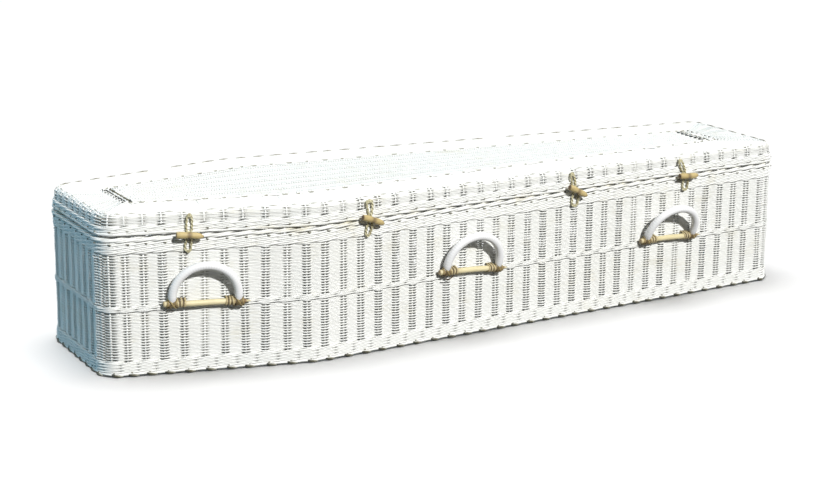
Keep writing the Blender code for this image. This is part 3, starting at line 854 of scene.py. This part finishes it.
# Each handle's place, how far its bar turns down to the foot side, and how far its arch leans out.
HANDLES = (
    ("head", math.radians(1.5), math.radians(8)),
    ("middle", math.radians(4), math.radians(14)),
    ("foot", math.radians(2), math.radians(23)),
)


def natural_cane(name, pale, dark, stain_and_shade_colour, gloss):
    """Scraped cane: long streaks in two straw colours, blotchy and dark where it is stained, and dark
    with painted shade at the toggles' blunt ends.
    """
    finish = Finish(name)
    streak = finish.noise(90.0, 4.0, (0.35, 1.0, 4.0))
    blotch = finish.noise(38.0, 3.0)
    fine = finish.noise(900.0, 2.0, (0.3, 1.0, 1.0))
    tone = finish.mark("tone")
    body = finish.mix((1.3 * streak - 0.25 + 0.15 * tone).clamped(), pale, dark)
    # Stains, and on the toggles' blunt ends painted shade, darken the cane.
    stain_and_shade_share = (finish.mark("deep") * (0.75 + 0.6 * blotch)).clamped()
    finish.set("Base Color", finish.mix(stain_and_shade_share, body, stain_and_shade_colour))
    finish.set("Roughness", gloss + 0.2 * fine + 0.1 * blotch)
    finish.bump(streak + 0.4 * fine, 0.0005, 0.5)
    return finish


bar_cane = natural_cane("scraped_bar_cane", BAR_PALE, BAR_STRAW, BAR_BROWN, 0.30)


def wall_frame(centre, back, turn=0.0):
    """Frame on the wall: x along it, -y out of it and z up, turned down to the foot side."""
    _, normal = wall.at(np.array([wall.nearest(centre[0], back)]))
    facing = math.atan2(normal[0, 1], normal[0, 0]) + math.pi / 2
    lean = -turn if back else turn
    return (Matrix.Translation(centre) @ Matrix.Rotation(facing, 4, "Z")
            @ Matrix.Rotation(lean, 4, "Y"))


def node_centre(node):
    low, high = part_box(node)
    return (low + high) / 2


def placed(path, place, mirror=False):
    """Points of a local path, moved to where the frame stands."""
    path = np.array(path, float)
    if mirror:
        path[:, 0] = -path[:, 0]
    turn = np.array(place.to_3x3())
    return path @ turn.T + np.array(place.translation)


def direction(vector, place):
    return np.array(place.to_3x3() @ Vector(vector))


handle_frames = {}
for back in (False, True):
    for name, turn, lean in HANDLES:
        label = f"{'back' if back else 'front'}_{name}"
        centre = node_centre(f"handle_bar_{label}")
        towards_wall = Matrix.Translation((0.0, BAR_DRAWN_IN, 0.0))
        handle_frames[label] = (wall_frame(centre, back, turn) @ towards_wall, lean)

bar_stain = np.interp(BAR_STEPS, BAR_STAIN_STEPS, BAR_STAINS)
for number, (label, (place, _)) in enumerate(handle_frames.items()):
    bar = Cane(40 + number)
    sway = 0.0007 * np.sin(BAR_STEPS * 30 + number)
    path = placed(np.column_stack([BAR_STEPS, sway, sway]), place)
    bar.lay(path, BAR * BAR_WIDTHS, direction((0, 0, 1), place), sides=14, deep=bar_stain)
    bar.piece(f"bar_{label}", bar_cane, "cane_bar", f"handle_bar_{label}")


# The arches
# A bundle of canes bent into an arch and wound tightly with flat white cane from foot to foot.
# Its feet are bound to the bar, and it leans a little off the wall.

ARCH_SPREAD = 0.154
ARCH_LEG = 0.017
ARCH_FLATTER = 0.97
ARCH = 0.0198
WRAP_PITCH = 0.0062
WRAP_RIDGE = 0.00028
ARCH_SIDES = 14
ARCH_STEPS = 132
FOOT_TAPER = 0.016
ARCH_WHITE = (0.88, 0.885, 0.905, 1.0)
ARCH_CREAM = (0.86, 0.86, 0.85, 1.0)
ARCH_GROOVE_SHADE = (0.46, 0.44, 0.38, 1.0)


def arch_finish():
    """White paint on tightly wound flat cane, darkened to a creamy grey in the hollows between
    turns as painted shade.
    """
    finish = Finish("white_paint_on_wound_cane")
    cloud = finish.noise(22.0, 3.0)
    fine = finish.noise(650.0, 3.0)
    # The hollows between turns are darkened toward a grey as painted shade.
    hollow_shade = finish.mark("deep")
    paint = finish.mix((0.8 * cloud - 0.1).clamped(), ARCH_WHITE, ARCH_CREAM)
    finish.set("Base Color", finish.mix(hollow_shade * 0.25, paint, ARCH_GROOVE_SHADE))
    finish.set("Roughness", 0.34 + 0.2 * fine)
    finish.bump(fine, 0.0003, 0.4)
    return finish


arch_paint = arch_finish()
bow = ARCH_SPREAD / 2
arch_length = 2 * ARCH_LEG + math.pi * bow
arch_run = np.linspace(0.004, arch_length - 0.004, ARCH_STEPS)
arch_turn = np.clip((arch_run - ARCH_LEG) / bow, 0, math.pi)
leg_left = np.minimum(arch_run - ARCH_LEG, 0)
leg_right = np.minimum(arch_length - ARCH_LEG - arch_run, 0)
arch_x = -bow * np.cos(arch_turn)
arch_z = ARCH_LEG + ARCH_FLATTER * bow * np.sin(arch_turn) + leg_left + leg_right
arch_path = np.column_stack([arch_x, np.zeros_like(arch_x), arch_z])
from_foot = np.minimum(arch_run, arch_length - arch_run)
taper = 0.62 + 0.38 * np.clip(from_foot / FOOT_TAPER, 0, 1) ** 0.6
round_tube = (np.arange(ARCH_SIDES) + 0.5) / ARCH_SIDES
wrap = np.mod(arch_run[:, None] / WRAP_PITCH + round_tube[None, :], 1.0)
ridge = 1 - np.abs(2 * wrap - 1) ** 3

for number, (label, (place, lean)) in enumerate(handle_frames.items()):
    arch = Cane(50 + number)
    leaned = place @ Matrix.Rotation(lean, 4, "X")
    path = placed(arch_path, leaned)
    width = ARCH * taper[:, None] - 2 * WRAP_RIDGE * (1 - ridge)
    arch.lay(path, width, direction((0, -1, 0), leaned), sides=ARCH_SIDES, tone=0.0)
    # The hollows between turns carry painted shade.
    arch.deep = [(1 - ridge).ravel()]
    arch.piece(f"arch_{label}", arch_paint, "white_arch", f"handle_arch_{label}")


# The bindings of the arch's feet
# Flat strips of dark stained cane are wound round the bar over each foot of the arch, and two
# narrower ones cross in front. Under the left foot of the middle handles an end hangs loose.

BINDING = 0.0050
BINDING_THICK = 0.0015
BINDING_REACH = 0.0125
CROSSING = 0.0042
CROSSING_PROUD = 0.0022
CROSSING_SLANT = 0.0062
BIND_LIGHT = (0.52, 0.41, 0.18, 1.0)
BIND_BROWN = (0.27, 0.19, 0.07, 1.0)
BIND_DARK = (0.075, 0.045, 0.02, 1.0)
LOOSE_END = ((-0.056, 0.004, -0.009), (-0.060, -0.004, -0.0125), (-0.067, -0.007, -0.0155),
             (-0.075, -0.007, -0.0170), (-0.083, -0.005, -0.0160))

binding_cane = natural_cane("stained_binding_cane", BIND_LIGHT, BIND_BROWN, BIND_DARK, 0.45)


def lay_strip(cane, x, radius, sweep, place, width, deep, tone=None):
    """A flat strip round the bar: x along the bar, and the angle from below over the front."""
    outward = np.column_stack([np.zeros_like(sweep), -np.cos(sweep), np.sin(sweep)])
    path = outward * np.broadcast_to(radius, sweep.shape)[:, None]
    path[:, 0] = x
    turn = np.array(place.to_3x3())
    cane.lay(placed(path, place), width, outward @ turn.T, sides=6, deep=deep, tone=tone,
             flat=BINDING_THICK / width)


for number, (label, (place, _)) in enumerate(handle_frames.items()):
    binding = Cane(60 + number)
    for side in (-1, 1):
        foot = side * ARCH_SPREAD / 2
        for strip in range(5):
            sweep = np.linspace(-math.pi, math.pi, 13)
            x = foot + BINDING_REACH * (strip - 2) / 2.2 + 0.0022 * np.sin(sweep + strip)
            radius = BAR / 2 + BINDING_THICK / 2 + 0.0010 * (2 - abs(strip - 2))
            lay_strip(binding, x, radius, sweep, place, BINDING, 0.75 if strip % 2 else 0.3,
                      (-1) ** strip)
        for slant in (-1, 1):
            sweep = np.linspace(-1.9, 1.7, 10)
            x = foot + slant * CROSSING_SLANT * sweep
            lay_strip(binding, x, BAR / 2 + BINDING_THICK + CROSSING_PROUD, sweep, place,
                      CROSSING, 0.55 + 0.2 * slant)
    if "middle" in label:
        binding.lay(placed(LOOSE_END, place), 0.0022, direction((0, -1, 0), place), sides=6, deep=0.9)
    binding.piece(f"binding_{label}", binding_cane, "split_cane")


# The lashings
# Split cane ties each bar to the wall just inside the feet: three flat turns go over the bar and
# through the weave above and below it, and two darker ones are drawn in between.

LASH_WIDTH = 0.0046
LASH_THICK = 0.0016
LASH_PLACE = 0.0562
LASH_REACH = 0.0115
LASH_TURNS = (-0.0080, -0.0042, 0.0, 0.0042, 0.0080)
LASH_PALE = (0.70, 0.60, 0.36, 1.0)
LASH_TAN = (0.44, 0.34, 0.16, 1.0)
LASH_DARK = (0.085, 0.055, 0.025, 1.0)

lashing_cane = natural_cane("split_lashing_cane", LASH_PALE, LASH_TAN, LASH_DARK, 0.38)

for label, (place, _) in handle_frames.items():
    for end, side in (("left", -1), ("right", 1)):
        lashing = Cane(70)
        for number, x in enumerate(LASH_TURNS):
            drawn_in = number % 2
            sweep = np.linspace(-0.5 * math.pi, 0.5 * math.pi, 9)
            out = BAR / 2 + LASH_THICK / 2 + 0.0006 - 0.0007 * drawn_in
            slant = 0.0012 * math.sin(7.0 * number + side)
            y = np.concatenate([[LASH_REACH, 0.004], -out * np.cos(sweep), [0.004, LASH_REACH]])
            z = np.concatenate([[-out - 0.003, -out - 0.001], out * np.sin(sweep),
                                [out + 0.001, out + 0.003]])
            path = np.column_stack([side * LASH_PLACE + x + slant * z / out, y, z])
            outward = np.column_stack([0 * y, np.minimum(y, -0.002), z])
            turned = outward @ np.array(place.to_3x3()).T
            lashing.lay(placed(path, place), LASH_WIDTH, turned, sides=6, flat=0.4,
                        tone=0.6 - 1.2 * (number == 2), deep=0.9 if drawn_in else 0.12)
        lashing.piece(f"lashing_{label}_{end}", lashing_cane, "split_cane",
                      f"lashing_{label}_{end}")


# The ties
# Each tie is a whittled stick held across the seam by two loops of thin twisted cane, one out
# of the lid and one out of the body. On the coffin the stick turns to let the lid go; here each
# stands at a set turn.

TOGGLE_LENGTH = 0.064
TOGGLE_STAND_OFF = 0.0201
LOOP = 0.0060
LOOP_TWIST = 0.019
LOOP_FROM_SEAM = 0.0045
LID_LOOP_LENGTH = 0.041
BODY_LOOP_LENGTH = 0.036
LID_LOOP_OUT = 0.00505
BODY_LOOP_OUT = 0.00805
TOGGLE = 0.0155
TOGGLE_TAN = (0.42, 0.31, 0.12, 1.0)
TOGGLE_GOLD = (0.57, 0.455, 0.215, 1.0)
TOGGLE_DARK = (0.13, 0.08, 0.04, 1.0)
LOOP_PALE = (0.76, 0.72, 0.50, 1.0)
LOOP_OLIVE = (0.50, 0.45, 0.26, 1.0)
LOOP_DARK = (0.22, 0.19, 0.10, 1.0)
KNOT_TURNS = ((19, 29), (30, 20))
TOGGLE_STEPS = np.array((-1.0, -0.985, -0.92, -0.6, -0.3, -0.10, 0.03, 0.2, 0.5, 0.72, 0.9, 1.0))
TOGGLE_WIDTHS = np.array((0.60, 0.82, 0.93, 1.0, 0.97, 0.88, 0.88, 0.96, 0.98, 0.84, 0.52, 0.20))
# Darkness along the stick: painted shade at the blunt left end, and darker round the middle and at the
# pointed tip.
TOGGLE_SHADE_AND_STAINS = np.array((1.0, 0.6, 0.15, 0.0, 0.1, 0.75, 0.6, 0.05, 0.0, 0.05, 0.25, 0.6))
# How far each toggle turns down to the foot side, then for its lid loop and its body loop the
# slant and the width near the seam and far from it.
TIES = (
    (math.radians(7), (math.radians(-3), 0.015, 0.011), (math.radians(5), 0.011, 0.015)),
    (math.radians(20), (math.radians(2), 0.006, 0.020), (math.radians(12), 0.015, 0.013)),
    (math.radians(25), (math.radians(12), 0.010, 0.011), (math.radians(0), 0.019, 0.020)),
    (math.radians(2), (math.radians(26), 0.010, 0.013), (math.radians(0), 0.016, 0.018)),
)

toggle_wood = natural_cane("whittled_toggle_wood", TOGGLE_GOLD, TOGGLE_TAN, TOGGLE_DARK, 0.42)
loop_cane = natural_cane("twisted_loop_cane", LOOP_PALE, LOOP_OLIVE, LOOP_DARK, 0.48)


def loop_path(length, legs, upward, out, lean_in, lean_from):
    """Loop in the frame of the seam. legs: slant, and how far apart near the seam and far off."""
    slant, near, far = legs
    turn = np.linspace(0, 2 * math.pi, 49)[:-1]
    along = LOOP_FROM_SEAM + length * (1 - np.cos(turn)) / 2
    rounded = np.sign(np.sin(turn)) * np.abs(np.sin(turn)) ** 0.55
    across = rounded / 2 * (near + (far - near) * (1 - np.cos(turn)) / 2)
    x = across * math.cos(slant) - along * math.sin(slant)
    z = upward * (along * math.cos(slant) + across * math.sin(slant))
    share = np.clip((np.abs(z) - lean_from) / 0.017, 0, 1)
    return np.column_stack([x, -(out - lean_in * share), z])


def lay_knot(cane, path, place, mirror):
    """The ends of a loop, wound twice across its far end and tucked in."""
    path = placed(path, place, mirror)
    outward = direction((0, -1, 0), place)
    for start, end in KNOT_TURNS:
        ends = np.array([path[start], (path[start] + path[end]) / 2 + outward * 0.0022, path[end]])
        ends[0] += (ends[0] - ends[2]) * 0.22
        ends[2] += (ends[2] - ends[0]) * 0.16
        cane.lay(ends, LOOP * 0.5, outward, sides=6, deep=0.35)


def lay_twist(cane, path, place, mirror):
    """Two thin canes twisted round each other along a closed path."""
    path = placed(path, place, mirror)
    step = np.linalg.norm(np.roll(path, -1, 0) - path, axis=1)
    run = np.concatenate([[0.0], np.cumsum(step)[:-1]])
    twists = max(2, round(step.sum() / LOOP_TWIST))
    phase = run / step.sum() * twists * 2 * math.pi
    ahead = np.roll(path, -1, 0) - np.roll(path, 1, 0)
    out = np.broadcast_to(direction((0, -1, 0), place), path.shape)
    across = np.cross(ahead, out)
    across /= np.linalg.norm(across, axis=1, keepdims=True)
    for start in (0.0, math.pi):
        shift = (across * np.cos(phase + start)[:, None] + out * np.sin(phase + start)[:, None])
        strand = path + shift * LOOP * 0.25
        cane.lay(strand, LOOP * 0.54, out, sides=6, closed=True,
                 deep=0.3 + 0.3 * np.cos(phase + start))


for back in (False, True):
    for number, (turn, lid_legs, body_legs) in enumerate(TIES, start=1):
        label = f"{'back' if back else 'front'}_{number}"
        centre = node_centre(f"toggle_{label}")
        outward = wall_frame(centre, back).to_3x3() @ Vector((0.0, -1.0, 0.0))
        seam = wall_frame(centre - outward * TOGGLE_STAND_OFF, back)

        toggle = Cane(80 + number)
        stick = wall_frame(centre, back, turn)
        bend = 0.0010 * np.sin(TOGGLE_STEPS * 2.4 + number)
        path = np.column_stack([TOGGLE_STEPS * TOGGLE_LENGTH / 2, 0 * bend, bend])
        # The stick's blunt end is darkened with painted shade.
        toggle.lay(placed(path, stick), TOGGLE * TOGGLE_WIDTHS, direction((0, 0, 1), stick),
                   sides=12, deep=TOGGLE_SHADE_AND_STAINS, tone=0.5 * (-1) ** number)
        toggle.piece(f"toggle_{label}_stick", toggle_wood, "toggle_wood", f"toggle_{label}")

        for name, seed, path in (
                ("lid_loop", 90, loop_path(LID_LOOP_LENGTH, lid_legs, 1, LID_LOOP_OUT, 0.003, 0.028)),
                ("body_loop", 95, loop_path(BODY_LOOP_LENGTH, body_legs, -1, BODY_LOOP_OUT, 0.002, 0.018))):
            loop = Cane(seed + number)
            lay_twist(loop, path, seam, back)
            lay_knot(loop, path, seam, back)
            loop.piece(f"{name}_{label}_cane", loop_cane, "cane_loop", f"{name}_{label}")


# The studio
# A pale floor curves up far off all round, casts no shade and sends no light up. Each light has
# its strength, width in degrees, colour and direction: a small key in front, a wide soft one
# overhead, two weaker ones for the shade of the ends, and one for the floor alone.

LIGHTS = {
    "key_light": (3.97, 2.5, (1.0, 1.0, 0.985), (0.086, -0.815, 0.574)),
    "overhead_light": (1.75, 46.0, (1.0, 1.0, 1.0), (0.0, 0.42, 1.0)),
    "shade_light": (0.97, 75.0, (0.22, 0.70, 1.0), (-0.85, 0.45, 0.10)),
    "fill_light": (0.9, 75.0, (0.93, 0.97, 1.0), (0.9, 0.35, 0.2)),
    "floor_light": (3.45, 46.0, (1.0, 1.0, 1.0), (0.0, 0.12, 1.0)),
}
ROOM_COLOUR = (1.0, 1.0, 0.95, 1.0)
ROOM_STRENGTH = 0.06
FLOOR_FLAT = 18.0
FLOOR_CURVE = 20.0
FLOOR_STEEPEST = math.radians(60)
FLOOR_SIDES = 64
FLOOR_PALE = (0.915, 0.915, 0.915, 1.0)
FLOOR_PALER = (0.93, 0.93, 0.93, 1.0)

scene = bpy.context.scene
scene.view_settings.view_transform = "Standard"

floor_mesh = bpy.data.meshes.new("floor")
slopes = np.linspace(0.0, FLOOR_STEEPEST, 10)
around = np.arange(FLOOR_SIDES) / FLOOR_SIDES * 2 * math.pi
floor_points = [(0.0, 0.0, 0.0)]
for slope in slopes:
    radius = FLOOR_FLAT + FLOOR_CURVE * math.sin(slope)
    height = FLOOR_CURVE * (1 - math.cos(slope))
    floor_points += [(radius * math.cos(turn), radius * math.sin(turn), height) for turn in around]
floor_faces = [(0, 1 + side, 1 + (side + 1) % FLOOR_SIDES) for side in range(FLOOR_SIDES)]
for ring in range(len(slopes) - 1):
    for side in range(FLOOR_SIDES):
        here = 1 + ring * FLOOR_SIDES
        beside = (side + 1) % FLOOR_SIDES
        floor_faces.append((here + side, here + FLOOR_SIDES + side,
                            here + FLOOR_SIDES + beside, here + beside))
floor_mesh.from_pydata(floor_points, [], floor_faces)
floor_mesh.shade_smooth()
floor = bpy.data.objects.new("floor", floor_mesh)
scene.collection.objects.link(floor)
floor.location.z = -0.0005
floor.visible_diffuse = False
floor.visible_shadow = False
floor_finish = Finish("pale_floor")
speckle = floor_finish.noise(0.35, 3.0)
floor_finish.set("Base Color", floor_finish.mix(speckle, FLOOR_PALE, FLOOR_PALER))
floor_finish.set("Roughness", 0.9)
floor_mesh.materials.append(floor_finish.material)

world = bpy.data.worlds.new("pale_room")
world.use_nodes = True
world.node_tree.nodes["Background"].inputs["Color"].default_value = ROOM_COLOUR
world.node_tree.nodes["Background"].inputs["Strength"].default_value = ROOM_STRENGTH
scene.world = world

coffin_alone = bpy.data.collections.new("all_but_the_floor")
coffin_alone.objects.link(floor)
coffin_alone.collection_objects[0].light_linking.link_state = "EXCLUDE"
floor_alone = bpy.data.collections.new("the_floor_alone")
floor_alone.objects.link(floor)
for name, (strength, width, colour, towards) in LIGHTS.items():
    lamp = bpy.data.lights.new(name, "SUN")
    lamp.energy = strength
    lamp.angle = math.radians(width)
    lamp.color = colour
    light = bpy.data.objects.new(name, lamp)
    light.rotation_mode = "QUATERNION"
    light.rotation_quaternion = Vector(towards).to_track_quat("Z", "Y")
    scene.collection.objects.link(light)
    light.light_linking.receiver_collection = floor_alone if name == "floor_light" else coffin_alone


# The camera
# It stands four metres in front of the basket, off the head end and a metre above the lid. It
# has a long lens, and looks across the front corner of the head end towards the foot.

CAMERA_PLACE = Vector((-2.3155, -4.1269, 1.3795))
CAMERA_LENS = 82.66
CAMERA_AZIMUTH = math.radians(28.56)
CAMERA_DIP = math.radians(14.30)
CAMERA_ROLL = math.radians(0.52)

camera_data = bpy.data.cameras.new("camera")
camera_data.sensor_width = 36.0
camera_data.lens = CAMERA_LENS
camera = bpy.data.objects.new("camera", camera_data)
ahead = Vector((math.sin(CAMERA_AZIMUTH) * math.cos(CAMERA_DIP),
                math.cos(CAMERA_AZIMUTH) * math.cos(CAMERA_DIP), -math.sin(CAMERA_DIP)))
level = Vector((math.cos(CAMERA_AZIMUTH), -math.sin(CAMERA_AZIMUTH), 0.0))
upright = level.cross(ahead)
right = level * math.cos(CAMERA_ROLL) + upright * math.sin(CAMERA_ROLL)
top = upright * math.cos(CAMERA_ROLL) - level * math.sin(CAMERA_ROLL)
camera.matrix_world = (Matrix.Translation(CAMERA_PLACE)
                       @ Matrix((right, top, -ahead)).transposed().to_4x4())
scene.collection.objects.link(camera)
scene.camera = camera
